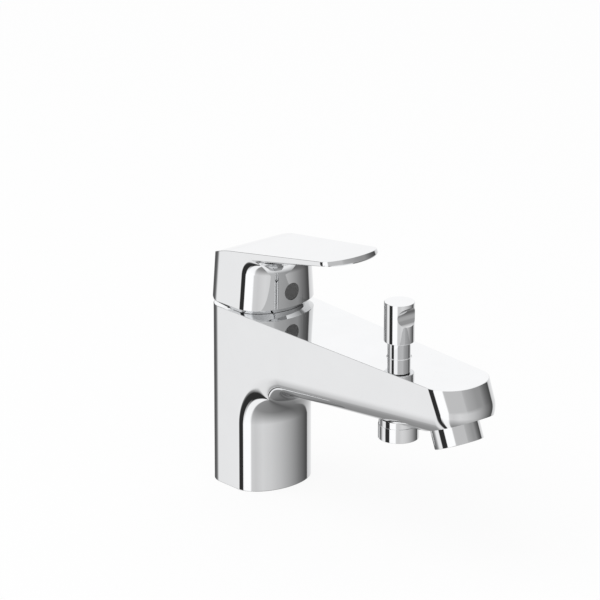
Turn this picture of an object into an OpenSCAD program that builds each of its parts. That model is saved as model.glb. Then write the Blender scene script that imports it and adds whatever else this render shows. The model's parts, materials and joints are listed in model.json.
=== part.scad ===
// Single-lever bath shower mixer for one hole in a bath deck: a cast column and spout, a ceramic
// cartridge under a lever, a pull-up diverter in the spout with a shower outlet below, and an aerator.
// The origin is at the column's centre on the deck, +X runs along the spout and +Z is up.

/* [Body] */
// Half the column's length along the spout, at its middle
column_half_l = 22.4; // [20.5:0.1:26]
// Half the column's width
column_half_w = 23.9; // [22:0.1:27]
// How far the column's front and back, and the spout's underside, bow from the middle to the sides
bow = 15; // [11:0.5:16]
// Height of the flat top above the deck
top_z = 98; // [94:1:112]
// Length of the flat top ahead of the column's centre
spout_l = 166.4; // [156:0.2:190]
// Narrowing of each side per millimetre of length
side_taper = 0.031; // [0:0.001:0.04]
// Depth of the spout below the flat top, at the column's front
spout_root_h = 43.2; // [38:0.2:48]
// Rise of the spout's underside towards its tip
spout_rise = 5.8; // [3:0.2:8]
// Radius of the blend between the column and the spout's underside
root_fillet = 19; // [6:1:24]
// Lean of the tip's front face, lower edge forward
tip_lean = 24; // [0:0.5:26]
// Radius of the chin between the tip's front face and the spout's underside, in the middle
chin_r = 15; // [8:0.5:18]
// Radius of the chin at the sides
chin_side_r = 0.6; // [0.4:0.1:4]
// How far the spout's sides tuck in towards its underside, at the tip
side_tuck = 5; // [0:0.2:6]

/* [Base] */
// Radius to the middle of the base gasket
gasket_ring_r = 18.2; // [16.5:0.1:18.6]
// Width of the base gasket
gasket_w = 2.4; // [1.6:0.2:3]
// Height of the base gasket
gasket_h = 2; // [1.5:0.5:3]
// Radius of the thread bore for a supply tail, M10 x 1
tail_bore_r = 4.5; // [4:0.1:5]
// Depth of the thread bore for a supply tail
tail_bore_l = 18; // [12:1:24]
// Radius of the waterway above a supply tail
inlet_r = 3.4; // [2.5:0.1:3.8]
// Distance of the supply tails behind the column's centre
tail_x = 6; // [5:0.5:7]
// Distance of each supply tail from the middle plane
tail_y = 7; // [6:0.5:8]
// Radius of the thread bore for the fixing stud, M8
stud_bore_r = 3.4; // [3:0.1:4]
// Depth of the thread bore for the fixing stud
stud_bore_l = 16; // [12:1:24]
// Distance of the fixing stud ahead of the column's centre
stud_x = 8; // [7:0.5:10]

/* [Cartridge] */
// Radius of the cartridge
cartridge_r = 17.4; // [16:0.1:18]
// Depth of the cartridge's seat below the flat top
seat_depth = 32; // [30:0.5:36]
// Thickness of the cartridge's base
base_t = 4; // [3:0.5:5]
// Height of each ceramic disc
disc_t = 4; // [3:0.5:5]
// Radius of the fixed ceramic disc
fixed_disc_r = 13.8; // [12.5:0.1:14]
// Radius of the moving ceramic disc
moving_disc_r = 10.5; // [9.5:0.1:11]
// Height of the disc driver
driver_t = 5.5; // [4.5:0.5:6.5]
// Wall of the cartridge's housing
housing_wall = 3.2; // [2.4:0.2:3.6]
// Radius of the housing's neck
neck_r = 11.5; // [10.5:0.1:12.5]
// Radius of the rotor's neck
rotor_r = 8.5; // [7.5:0.1:9]
// Thickness of the rotor's flange
flange_t = 2; // [1.5:0.5:3]
// Height of the lever's pivot above the body's top
pivot_rise = 2; // [1:0.5:3]
// Radius of the pivot pin
pin_r = 1.5; // [1:0.1:2]
// Width of the square spindle
spindle_w = 8; // [6:0.5:9]
// Radius of the spindle's ball end
ball_r = 3; // [2.5:0.1:3.5]
// Radius of the cartridge nut's thread
nut_r = 18.4; // [18:0.1:18.6]
// Height of the cartridge nut
nut_h = 7; // [5:0.5:7.5]
// Radius of the shroud
shroud_r = 15.6; // [14:0.2:16]

/* [Handle] */
// Distance of the handle's front, below its blade, from the column's centre
handle_half_l = 24; // [21.5:0.1:26]
// How much shorter the handle is behind the column's centre than ahead of it
handle_back = 1.8; // [0:0.1:3]
// Half the handle's width at its foot
handle_half_w = 24.6; // [22:0.1:27]
// Height of the handle's top face above the body's top, over the column's centre
handle_h = 32; // [30:0.2:38]
// Rise of the handle's top face towards the blade's tip
blade_rise = 9.6; // [4:0.2:14]
// Distance of the blade's tip from the column's centre
blade_reach = 78.4; // [64:0.2:90]
// Blade thickness at the block
blade_root_t = 7.5; // [6:0.5:9]
// Blade thickness at the tip
blade_tip_t = 3.4; // [2.5:0.1:5]
// Narrowing of each side of the handle per millimetre of length
handle_taper = 0.038; // [0.02:0.002:0.07]
// Inward lean of the handle's sides
handle_draft = 5; // [1:0.5:6]
// Bow of the blade's tip
tip_bow = 10; // [6:0.5:14]
// How much thinner the blade's root is at its sides
root_crown = 4.2; // [0:0.2:5]
// How much thinner the blade's tip is at its sides
tip_crown = 1.4; // [0:0.2:2]
// Radius of the arch under the blade
arch_r = 9; // [4:0.5:11]
// Gap between the handle and the body's top
handle_gap = 0.1; // [0.1:0.05:1]
// Fall of the handle's top towards its back
back_fall = 4.6; // [0:0.2:6]
// Height of the bevel round the handle's foot
foot_h = 3; // [2:0.5:6]
// Inset of the bevel round the handle's foot
foot_in = 3.4; // [1:0.2:4]
// Lift of the lever from closed to full flow
lift = 18; // [12:1:20]
// Radius of the hollow in the handle's underside
hollow_r = 18.6; // [18.2:0.1:19]
// Height of the hollow in the handle's underside
hollow_h = 17; // [14:0.5:20]
// Radius of the socket's boss in the hollow
boss_r = 8.4; // [7.5:0.1:9]
// Gap between the shroud's top and the socket's boss
boss_gap = 0.8; // [0.6:0.1:2]
// Length of the spindle in the handle's socket
socket_l = 12.6; // [10:0.2:15]
// Height of the indicator above the body's top
dot_h = 11.4; // [10.5:0.2:13]
// Radius of the indicator
dot_r = 4.6; // [3.5:0.1:5]
// Length of the indicator plug
dot_l = 3; // [2:0.5:4]
// Radius of the grub screw, M5
grub_r = 2.5; // [2:0.5:3]
// Length of the grub screw
grub_l = 8; // [6:0.5:9]

/* [Diverter] */
// Distance of the diverter from the column's centre
diverter_x = 109; // [100:0.5:112]
// Radius of the knob
knob_r = 7.8; // [7:0.1:10]
// Height of the knob
knob_h = 21; // [17:0.5:25]
// Radius of the bush's neck on the spout
bush_neck_r = 5.9; // [5:0.1:6.5]
// Height of the bush's neck on the spout
bush_neck_h = 8; // [5:0.5:12]
// Gap between the neck and the knob
knob_gap = 0.4; // [0.3:0.1:1]
// Radius of the bush's thread
bush_r = 6.4; // [6.2:0.1:6.4]
// Length of the bush's thread
bush_l = 8; // [6:0.5:8.5]
// Radius of the rod
rod_r = 2.5; // [2:0.1:2.8]
// Length of the rod inside the knob
rod_grip = 12; // [8:0.5:15]
// Travel of the knob
pull = 7; // [5:0.5:7.5]
// Radius of the valve plug
plug_r = 7.8; // [7.2:0.1:8.2]
// Thickness of the valve plug between its seals
plug_t = 2.2; // [1.6:0.2:3]
// Thickness of each plug seal
plug_seal_t = 0.8; // [0.6:0.1:1]
// Radius of the plug's boss under the spring
plug_boss_r = 5.2; // [4.9:0.1:5.6]
// Radius of the opening in the upper valve seat
upper_seat_r = 6.5; // [6:0.1:6.8]
// Thickness of the upper valve seat
upper_seat_t = 1.6; // [1.2:0.2:2]
// Mean radius of the return spring
spring_r = 4.2; // [3.9:0.1:4.4]
// Wire radius of the return spring
spring_wire_r = 0.45; // [0.3:0.05:0.5]
// Turns of the return spring
spring_turns = 6; // [4:1:7]

/* [Shower outlet] */
// Radius of the nipple's thread, G1/2
nipple_r = 10.478; // [10:0.01:10.6]
// Depth of the nipple's lower end below the flat top
nipple_drop = 43.5; // [42:0.5:48]
// Length of the nipple below its shoulder
nipple_l = 11; // [10:0.5:12]
// Length of the nipple's thread
nipple_thread_l = 7.5; // [6:0.5:8]
// Thickness of the nipple's seal
nipple_seal_t = 1; // [0.6:0.1:1.5]
// Radius of the nipple's spigot in the body
spigot_r = 9; // [8.6:0.1:9.4]
// Length of the nipple's spigot, seal included
spigot_l = 4; // [3:0.5:5]
// Radius of the throat above the check valve
throat_r = 5.6; // [4.5:0.1:6]
// Radius of the check valve
check_r = 7; // [6.5:0.1:7.5]
// Length of the check valve
check_l = 9.5; // [8.5:0.5:10.5]
// Travel of the check valve's poppet
check_travel = 1.2; // [0.8:0.1:1.4]

/* [Aerator] */
// Radius of the aerator's sleeve, above the M24 x 1 of its thread
aerator_r = 12.7; // [12:0.1:13]
// Distance of the aerator's outlet from the column's centre
outlet_x = 155.6; // [146:0.2:178]
// Depth of the aerator's outlet below the flat top
outlet_drop = 33.2; // [28:0.2:36]
// Forward tilt of the aerator's axis
aerator_tilt = 22.8; // [15:0.2:26]
// Length of the sleeve below the spout's chin
sleeve_l = 10; // [7:0.5:12]
// Length of the sleeve's thread in the spout
sleeve_thread_l = 9; // [7:0.5:10]
// Wall of the sleeve's thread
sleeve_wall = 1.4; // [1:0.1:2]
// Depth of the sleeve's shoulder in the spout
shoulder_l = 3; // [2:0.5:4]
// Thickness of the aerator's gasket
aerator_gasket_t = 1.6; // [1:0.2:2.5]
// Thickness of the aerator's mesh
mesh_t = 0.8; // [0.6:0.2:1.2]
// Radius of each hole of the mesh
mesh_hole_r = 0.9; // [0.6:0.1:1]
// Distance between the holes of the mesh
mesh_pitch = 2.8; // [2.6:0.1:4]

/* [Hidden] */
$fn = 64;

// Radial gap of a fixed piece in its bore, of a running shaft, and gap between faces that meet when moved
fit = 0.05;
run = 0.05;
face_gap = 0.1;
// What a cut reaches past the face that it opens
over = 1;
// Lateral steps of the bowed skins, in degrees of their elliptical section
skin_step = 7.5;
// Steps of the blends in the skins
blend_steps = 8;

// Cartridge levels
seat_z = top_z - seat_depth;
base_top_z = seat_z + base_t;
fixed_top_z = base_top_z + disc_t;
moving_top_z = fixed_top_z + disc_t;
driver_top_z = moving_top_z + driver_t;
flange_z = driver_top_z + face_gap;
flange_top_z = flange_z + flange_t;
nut_sink = 1;
nut_z = top_z - nut_sink - nut_h;
pivot_z = top_z + pivot_rise;
pivot_cover = 2.6;
neck_top_z = pivot_z + pivot_cover;
rotor_top_z = neck_top_z + face_gap;
socket_floor_z = moving_top_z + 1;
ball_rest = 0.4;
socket_z = socket_floor_z + ball_rest + ball_r;
arm = pivot_z - socket_z;
disc_start = -arm * sin(lift / 2);
port_r = 3;
port_seal_r = port_r + 1;
outlet_port_x = 7.5;
mix_r = moving_disc_r - 3.5;
tongue_half_l = ball_r + 1.2;
stem_r = ball_r - 0.6;
pin_half_l = rotor_r - 0.5;
cavity_r = cartridge_r - housing_wall;
slot_w = spindle_w + 2 * face_gap;
slot_l = 2 * sqrt(pow(rotor_r, 2) - pow(slot_w / 2, 2)) - face_gap;
shroud_t = 1.1;
shroud_edge_r = 4.5;
shroud_hole_r = rotor_r + 0.4;
shroud_z = nut_z + nut_h;
shroud_top_z = rotor_top_z + shroud_t;
boss_z = shroud_top_z + boss_gap;
spindle_top_z = boss_z + socket_l;
dot_z = top_z + dot_h;

// Handle
handle_z = top_z + handle_gap;
hollow_top_z = handle_z + hollow_h;
blade_slope = tan(blade_rise);
// Facets of the curve in which the handle's top falls to the back
fall_steps = 6;
// How far the blade's front leans back, as a share of the tip's height
nose_share = 0.35;
// Height and depth of the bevel under the blade's front, as a share of the tip's height
keel_share = 0.2;
bridge_w = 2 * (grub_r + 2);
// Where the grub screw meets the leaning spindle
grub_x = spindle_w / 2 / cos(lift / 2) + (dot_z + grub_r - pivot_z) * tan(lift / 2) + fit;

// Spout levels
spout_root_z = top_z - spout_root_h;
nipple_z = top_z - nipple_drop;
outlet_z = top_z - outlet_drop;

// Diverter levels
bush_z = top_z - bush_l;
bush_seal_r = rod_r + 1.8;
bush_seal_t = 2;
bush_seal_z = top_z - bush_seal_t;
knob_z = top_z + bush_neck_h + knob_gap;
seal_seat_z = nipple_z + nipple_l;
lower_seat_z = seal_seat_z + spigot_l;
lower_seal_z = lower_seat_z + face_gap;
plug_z = lower_seal_z + plug_seal_t;
plug_top_z = plug_z + plug_t;
rod_z = plug_z + 0.4;
boss_top_z = plug_top_z + plug_seal_t;
upper_seat_z = boss_top_z + pull + face_gap;
upper_chamber_z = upper_seat_z + upper_seat_t;
chamber_r = spigot_r + fit;
nipple_neck_r = nipple_r - 0.3;

// Check valve in the nipple
check_z = nipple_z + 1;
check_top_z = check_z + check_l;
check_bore_r = check_r - 1.6;
check_plate = 1.4;
check_stem_r = 1.1;
check_hole_r = 1.4;
check_hole_x = 3.5;
poppet_r = 4.4;
poppet_t = 1.6;
poppet_seat_r = poppet_r - 0.8;
poppet_top_z = check_top_z - check_plate - face_gap;
stem_z = nipple_z + check_travel + 2 * face_gap;
check_spring_r = 2;
check_wire_r = 0.22;
check_turns = 4;

// Aerator lengths along its axis, from the outlet
thread_top = sleeve_l + shoulder_l + sleeve_thread_l;
bore_top = thread_top + aerator_gasket_t;
thread_r = aerator_r - 0.7;
insert_r = thread_r - sleeve_wall;
lip_t = 1;
lip_r = insert_r - 1;
insert_drop = 4;
insert_l = thread_top - lip_t - mesh_t - insert_drop;
jet_r = 1.5;
jet_ring_r = 0.62 * insert_r;
mesh_rim = 2;

// Waterways
way_r = 5;
way_drop = 6;
way_start = [outlet_port_x, 0, seat_z - way_drop];
way_end = [diverter_x, 0, (lower_seat_z + upper_seat_z) / 2];
spout_way_r = 3;
spout_way_z = (upper_chamber_z + bush_z) / 2;
spout_way_end = outlet_x - bore_top * sin(aerator_tilt);

// Chrome, brass and plastic colours
chrome = "lightgray";
brass = "goldenrod";
plastic = "whitesmoke";
rubber = "dimgray";

// Shared shapes

// Closed skin over rings of equal length; caps lists the triangles that close its first and last ring.
module skin(rings, caps) {
    n = len(rings[0]);
    last = len(rings) - 1;
    sides = [
        for (i = [0:last - 1], j = [0:n - 1])
            let (k = (j + 1) % n, a = i * n + j, b = i * n + k, c = a + n, d = b + n)
                each [[a, d, b], [a, c, d]]
    ];
    last_caps = [for (cap = caps) [for (j = [len(cap) - 1:-1:0]) last * n + cap[j]]];
    polyhedron([for (ring = rings) each ring], concat(sides, caps, last_caps));
}

// Triangles of an outline's end: a wall between its foot, its top and the first point of a blend, and a fan
// from the wall's top over the blend and the arm beyond it.
function arm_cap(foot, first, last) =
    concat(
        [[foot, first - 1, first], [foot, first, last], [last, first, last - 1]],
        [for (j = [first:last - 3]) [last - 1, j, j + 1]]
    );

// Points of a hollow blend from a wall at x to a line that rises at an angle, line_z being its height at x.
function blend(x, line_z, rise, r) =
    let (cx = x + r, cz = line_z + r * tan(rise) - r / cos(rise))
        [for (i = [0:blend_steps])
            let (a = 180 + (rise - 90) * i / blend_steps)
                [cx + r * cos(a), cz + r * sin(a)]];

module ring(z, h, r_in, r_out) {
    translate([0, 0, z])
        difference() {
            cylinder(h = h, r = r_out);
            translate([0, 0, -over]) cylinder(h = h + 2 * over, r = r_in);
        }
}

// Cylinder between two points.
module rod_between(a, b, r) {
    d = b - a;
    translate(a)
        rotate([0, acos(d[2] / norm(d)), atan2(d[1], d[0])])
            cylinder(h = norm(d), r = r);
}

// Coil of round wire round the Z axis, between two heights of its wire's outer faces.
module coil(z0, z1, r, wire_r, turns) {
    sides = 6;
    per_turn = 12;
    steps = turns * per_turn;
    rise = z1 - z0 - 2 * wire_r;
    rings = [
        for (i = [0:steps])
            let (a = 360 * i / per_turn, z = z0 + wire_r + rise * i / steps)
                [for (j = [0:sides - 1])
                    let (b = 360 * j / sides, q = r + wire_r * cos(b))
                        [q * cos(a), q * sin(a), z + wire_r * sin(b)]]
    ];
    skin(rings, [for (j = [1:sides - 2]) [0, j, j + 1]]);
}

module on_diverter() { translate([diverter_x, 0, 0]) children(); }

module on_aerator() { translate([outlet_x, 0, outlet_z]) rotate([0, -aerator_tilt, 0]) children(); }

// Body

function body_half_w(x, z) =
    let (along = max(0, (x - column_half_l) / (spout_l - column_half_l)), down = (top_z - z) / spout_root_h)
        column_half_w - side_taper * x - side_tuck * along * down * down;

// Side outline of the body at one angle of its bowed section, as a ring of points.
function body_ring(a) =
    let (
        in = bow * (1 - cos(a)),
        m = tan(spout_rise),
        lean = tan(tip_lean),
        wall = column_half_l - in,
        line_z = spout_root_z + (wall - column_half_l) * m + in / cos(spout_rise),
        nose = spout_l - in,
        r = chin_r - (chin_r - chin_side_r) * (1 - cos(a)),
        height = top_z - line_z + wall * m - r / cos(spout_rise),
        cx = (nose + height * lean - r / cos(tip_lean)) / (1 + lean * m),
        cz = line_z + (cx - wall) * m + r / cos(spout_rise),
        chin = [for (i = [0:blend_steps])
            let (t = spout_rise - 90 + (90 + tip_lean - spout_rise) * i / blend_steps)
                [cx + r * cos(t), cz + r * sin(t)]],
        outline = concat(
            [[-wall, 0], [wall, 0]],
            blend(wall, line_z, spout_rise, root_fillet + in),
            chin,
            [[nose, top_z], [wall, top_z], [-wall, top_z]]
        )
    )
    [for (p = outline) [p[0], sin(a) * body_half_w(p[0], p[1]), p[1]]];

module body_skin() {
    rings = [for (a = [90:-skin_step:-90]) body_ring(a)];
    skin(rings, arm_cap(0, 2, len(rings[0]) - 1));
}

// What the chin below the tip takes off the skin.
module chin_cut() {
    back = 32;
    front = 40;
    deep = 30;
    on_aerator()
        translate([-back, -column_half_w - over, sleeve_l - deep])
            cube([back + front, 2 * (column_half_w + over), deep]);
}

module cartridge_bore() {
    translate([0, 0, seat_z]) cylinder(h = top_z, r = cartridge_r + fit);
    translate([0, 0, nut_z]) cylinder(h = top_z, r = nut_r + fit);
}

module base_bores() {
    for (side = [-1, 1]) {
        translate([-tail_x, side * tail_y, -over]) cylinder(h = tail_bore_l + over, r = tail_bore_r);
        translate([-tail_x, side * tail_y, 0]) cylinder(h = seat_z + over, r = inlet_r);
    }
    translate([stud_x, 0, -over]) cylinder(h = stud_bore_l + over, r = stud_bore_r);
    ring(-over, gasket_h + over, gasket_ring_r - gasket_w / 2, gasket_ring_r + gasket_w / 2);
}

module waterways() {
    translate([outlet_port_x, 0, seat_z - way_drop]) cylinder(h = way_drop + over, r = port_r);
    rod_between(way_start, way_end, way_r);
    translate([diverter_x, 0, spout_way_z])
        rotate([0, 90, 0])
            cylinder(h = spout_way_end - diverter_x, r = spout_way_r);
}

module diverter_bores() {
    recess_z = seal_seat_z + nipple_seal_t;
    on_diverter() {
        translate([0, 0, nipple_z]) cylinder(h = recess_z - nipple_z, r = nipple_neck_r + fit);
        translate([0, 0, seal_seat_z]) cylinder(h = upper_seat_z - seal_seat_z, r = chamber_r);
        translate([0, 0, seal_seat_z]) cylinder(h = bush_z - seal_seat_z, r = upper_seat_r);
        translate([0, 0, upper_chamber_z]) cylinder(h = bush_z - upper_chamber_z, r = chamber_r);
        translate([0, 0, bush_z]) cylinder(h = bush_l + over, r = bush_r + fit);
    }
}

module aerator_bores() {
    on_aerator() {
        cylinder(h = sleeve_l + shoulder_l, r = aerator_r + fit);
        cylinder(h = bore_top, r = thread_r + fit);
    }
}

module body() {
    color(chrome)
        difference() {
            body_skin();
            chin_cut();
            cartridge_bore();
            base_bores();
            waterways();
            diverter_bores();
            aerator_bores();
        }
}

module base_gasket() {
    color(rubber) ring(0, gasket_h, gasket_ring_r - gasket_w / 2, gasket_ring_r + gasket_w / 2);
}

// Cartridge

// Three ports: hot, cold and mixed water.
module ports(z, h, r) {
    for (p = [[-tail_x, tail_y], [-tail_x, -tail_y], [outlet_port_x, 0]])
        translate([p[0], p[1], z]) cylinder(h = h, r = r);
}

module cartridge_housing() {
    color(plastic)
        difference() {
            union() {
                translate([0, 0, base_top_z]) cylinder(h = nut_z - base_top_z, r = cartridge_r);
                translate([0, 0, nut_z]) cylinder(h = neck_top_z - nut_z, r = neck_r);
            }
            translate([0, 0, base_top_z - over])
                cylinder(h = flange_top_z + face_gap - base_top_z + over, r = cavity_r);
            translate([0, 0, base_top_z]) cylinder(h = neck_top_z, r = rotor_r + run);
        }
}

module cartridge_base() {
    color(plastic)
        difference() {
            translate([0, 0, seat_z]) cylinder(h = base_t, r = cartridge_r);
            ports(seat_z - over, base_t + 2 * over, port_r);
            ports(seat_z + base_t / 2, base_t, port_seal_r);
        }
}

module cartridge_seals() {
    color(rubber)
        difference() {
            ports(seat_z + base_t / 2, base_t / 2, port_seal_r - fit);
            ports(seat_z, base_t + over, port_r);
        }
}

module fixed_disc() {
    color("ivory")
        difference() {
            translate([0, 0, base_top_z]) cylinder(h = disc_t, r = fixed_disc_r);
            ports(base_top_z - over, disc_t + 2 * over, port_r);
        }
}

// The moving disc's lower face holds the mixing hollow that joins the ports below it.
module moving_disc() {
    color("ivory")
        translate([disc_start, 0, 0])
            difference() {
                translate([0, 0, fixed_top_z]) cylinder(h = disc_t, r = moving_disc_r);
                translate([0, 0, fixed_top_z - over]) cylinder(h = disc_t / 2 + over, r = mix_r);
            }
}

// A tongue on the driver slides in the rotor's slot, so the two turn together.
module disc_driver() {
    tongue_top_z = driver_top_z + flange_t;
    color(plastic)
        translate([disc_start, 0, 0])
            difference() {
                union() {
                    translate([0, 0, moving_top_z]) cylinder(h = driver_t, r = moving_disc_r);
                    translate([-tongue_half_l, -spindle_w / 2, moving_top_z])
                        cube([2 * tongue_half_l, spindle_w, tongue_top_z - moving_top_z]);
                }
                translate([0, 0, socket_floor_z]) cylinder(h = driver_t + flange_t, r = ball_r + run);
            }
}

module cartridge_rotor() {
    h = rotor_top_z - flange_z;
    color(plastic)
        difference() {
            union() {
                translate([0, 0, flange_z]) cylinder(h = flange_t, r = cavity_r - run);
                translate([0, 0, flange_z]) cylinder(h = h, r = rotor_r);
            }
            translate([-slot_l / 2, -slot_w / 2, flange_z - over]) cube([slot_l, slot_w, h + 2 * over]);
            translate([0, rotor_r + over, pivot_z])
                rotate([90, 0, 0])
                    cylinder(h = 2 * (rotor_r + over), r = pin_r + fit);
        }
}

module pivot_pin() {
    color("silver")
        translate([0, pin_half_l, pivot_z])
            rotate([90, 0, 0])
                cylinder(h = 2 * pin_half_l, r = pin_r);
}

// Leaning forward by half the lift when the lever is closed.
module spindle() {
    color("silver")
        translate([0, 0, pivot_z])
            rotate([0, lift / 2, 0])
                difference() {
                    union() {
                        translate([-spindle_w / 2, -spindle_w / 2, -ball_r])
                            cube([spindle_w, spindle_w, spindle_top_z - pivot_z + ball_r]);
                        translate([0, 0, -arm]) cylinder(h = arm, r = stem_r);
                        translate([0, 0, -arm]) sphere(r = ball_r);
                    }
                    translate([0, spindle_w, 0])
                        rotate([90, 0, 0])
                            cylinder(h = 2 * spindle_w, r = pin_r + run);
                }
}

// The nut has four slots for its key.
module cartridge_nut() {
    slot = 4;
    slot_h = 2.5;
    slot_x = neck_r + 3;
    color(brass)
        difference() {
            ring(nut_z, nut_h, neck_r + fit, nut_r);
            for (a = [45:90:315])
                rotate([0, 0, a])
                    translate([slot_x, -slot / 2, nut_z + nut_h - slot_h]) cube([nut_r, slot, nut_h]);
        }
}

module shroud() {
    h = shroud_top_z - shroud_z;
    flat_r = shroud_r - shroud_edge_r;
    color(chrome)
        rotate_extrude()
            difference() {
                union() {
                    translate([shroud_hole_r, shroud_z])
                        square([shroud_r - shroud_hole_r, h - shroud_edge_r]);
                    translate([shroud_hole_r, shroud_z]) square([flat_r - shroud_hole_r, h]);
                    translate([flat_r, shroud_top_z - shroud_edge_r])
                        intersection() {
                            circle(r = shroud_edge_r);
                            square(shroud_edge_r);
                        }
                }
                translate([0, shroud_z - over]) square([neck_r + fit, rotor_top_z - shroud_z + over]);
            }
}

// Handle

function handle_side(x, z) = handle_half_w - handle_taper * x - tan(handle_draft) * (z - handle_z - foot_h);

// Side outline of the handle at one angle of its bowed section, as a ring of points.
function handle_ring(a) =
    let (
        bowed = 1 - cos(a),
        wall = handle_half_l - bow * bowed,
        back = handle_back - wall,
        base_z = top_z + handle_h,
        foot_z = handle_z + foot_h,
        tip = blade_reach - tip_bow * bowed,
        tip_top_z = base_z + tip * blade_slope,
        tip_low_z = tip_top_z - blade_tip_t + tip_crown * bowed,
        under_z = base_z + wall * blade_slope - blade_root_t + root_crown * bowed,
        under_slope = (tip_low_z - under_z) / (tip - wall),
        nose = nose_share * (tip_top_z - tip_low_z),
        keel = keel_share * (tip_top_z - tip_low_z),
        foot = [
            [back, foot_z, 0], [back + foot_in, handle_z, foot_in],
            [wall - foot_in, handle_z, foot_in], [wall, foot_z, 0]
        ],
        arch = [for (p = blend(wall, under_z, atan(under_slope), arch_r)) [p[0], p[1], 0]],
        top = [
            [tip - keel, tip_low_z - keel * under_slope, 0], [tip, tip_low_z + keel, 0],
            [tip - nose, tip_top_z - nose * blade_slope, 0],
            [wall, base_z + wall * blade_slope, 0]
        ],
        rear = [
            for (i = [0:fall_steps])
                let (x = back * i / fall_steps, fall = back_fall * pow(x / (handle_half_l - handle_back), 2))
                [x, base_z + x * blade_slope - fall, 0]
        ]
    )
    [for (p = concat(foot, arch, top, rear)) [p[0], sin(a) * (handle_side(p[0], p[1]) - p[2]), p[1]]];

module handle_skin() {
    rings = [for (a = [90:-skin_step:-90]) handle_ring(a)];
    skin(rings, concat([[0, 1, 2], [0, 2, 3]], arm_cap(0, 4, len(rings[0]) - 1)));
}

// Wedge below a plane that rises to the back by the lift, from height z over the column's centre.
module lift_wedge(z) {
    wide = 2 * handle_half_w + 2 * over;
    long = 2 * handle_half_l;
    translate([0, 0, z])
        rotate([0, lift, 0])
            translate([-long, -wide / 2, -handle_half_l])
                cube([long, wide, handle_half_l]);
}

module spindle_socket(gap) {
    translate([0, 0, pivot_z])
        rotate([0, lift / 2, 0])
            translate([-spindle_w / 2 - gap, -spindle_w / 2 - gap, 0])
                cube([spindle_w + 2 * gap, spindle_w + 2 * gap, spindle_top_z - pivot_z + gap]);
}

// The socket's boss in the hollow, with a bridge to the front for the grub screw.
module boss() {
    h = hollow_top_z - boss_z;
    difference() {
        translate([0, 0, boss_z]) {
            cylinder(h = h, r = boss_r);
            translate([0, -bridge_w / 2, 0]) cube([hollow_r, bridge_w, h]);
        }
        lift_wedge(boss_z);
    }
}

module handle() {
    color(chrome)
        difference() {
            handle_skin();
            lift_wedge(handle_z);
            difference() {
                translate([0, 0, handle_z - over]) cylinder(h = hollow_h + over, r = hollow_r);
                boss();
            }
            spindle_socket(fit);
            translate([0, 0, dot_z])
                rotate([0, 90, 0])
                    cylinder(h = 2 * handle_half_l, r = grub_r + fit);
            translate([handle_half_l - dot_l, 0, dot_z])
                rotate([0, 90, 0])
                    cylinder(h = handle_half_l, r = dot_r + fit);
        }
}

module grub_screw() {
    key_r = 1.4;
    key_l = 3;
    color("dimgray")
        translate([grub_x, 0, dot_z])
            rotate([0, 90, 0])
                difference() {
                    cylinder(h = grub_l, r = grub_r);
                    translate([0, 0, grub_l - key_l]) cylinder(h = key_l + over, r = key_r, $fn = 6);
                }
}

module indicator_plug() {
    color("gray")
        translate([handle_half_l - dot_l, 0, dot_z])
            rotate([0, 90, 0])
                cylinder(h = dot_l - face_gap, r = dot_r);
}

// Diverter

// A finger hold is hollowed out of the knob's front.
module diverter_knob() {
    hold_r = 6;
    hold_in = 2.6;
    hold_drop = 6.7;
    edge = 0.6;
    color(chrome)
        on_diverter()
            translate([0, 0, knob_z])
                difference() {
                    rotate_extrude()
                        polygon([
                            [0, 0], [knob_r - edge, 0], [knob_r, edge], [knob_r, knob_h - edge],
                            [knob_r - edge, knob_h], [0, knob_h]
                        ]);
                    translate([knob_r - hold_in + hold_r, knob_r + over, knob_h - hold_drop])
                        rotate([90, 0, 0])
                            cylinder(h = 2 * (knob_r + over), r = hold_r);
                    translate([0, 0, -over]) cylinder(h = rod_grip + over, r = rod_r + fit);
                }
}

module diverter_rod() {
    color("silver")
        on_diverter()
            translate([0, 0, rod_z]) cylinder(h = knob_z + rod_grip - rod_z, r = rod_r);
}

module diverter_bush() {
    color(chrome)
        on_diverter()
            difference() {
                union() {
                    translate([0, 0, bush_z]) cylinder(h = bush_l, r = bush_r);
                    translate([0, 0, top_z]) cylinder(h = bush_neck_h, r = bush_neck_r);
                }
                translate([0, 0, bush_z - over])
                    cylinder(h = bush_l + bush_neck_h + 2 * over, r = rod_r + run);
                translate([0, 0, bush_seal_z]) cylinder(h = bush_seal_t, r = bush_seal_r);
            }
}

module bush_seal() {
    color(rubber)
        on_diverter()
            ring(bush_seal_z + fit, bush_seal_t - 2 * fit, rod_r + run, bush_seal_r - fit);
}

module diverter_plug() {
    color(brass)
        on_diverter()
            difference() {
                union() {
                    translate([0, 0, plug_z]) cylinder(h = plug_t, r = plug_r);
                    translate([0, 0, plug_z]) cylinder(h = plug_t + plug_seal_t, r = plug_boss_r);
                }
                translate([0, 0, rod_z]) cylinder(h = plug_t + plug_seal_t, r = rod_r + fit);
            }
}

module plug_seals() {
    color(rubber)
        on_diverter() {
            translate([0, 0, lower_seal_z]) cylinder(h = plug_seal_t, r = plug_r);
            ring(plug_top_z, plug_seal_t, plug_boss_r + fit, plug_r);
        }
}

module diverter_spring() {
    color("silver")
        on_diverter()
            coil(boss_top_z + fit, bush_z - fit, spring_r, spring_wire_r, spring_turns);
}

// Shower outlet

module shower_nipple() {
    color(chrome)
        on_diverter()
            difference() {
                union() {
                    translate([0, 0, nipple_z]) cylinder(h = nipple_thread_l, r = nipple_r);
                    translate([0, 0, nipple_z]) cylinder(h = nipple_l, r = nipple_neck_r);
                    translate([0, 0, nipple_z]) cylinder(h = nipple_l + spigot_l, r = spigot_r);
                }
                translate([0, 0, nipple_z - over])
                    cylinder(h = check_top_z - nipple_z + over, r = check_r + fit);
                translate([0, 0, nipple_z]) cylinder(h = nipple_l + spigot_l + over, r = throat_r);
            }
}

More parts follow.
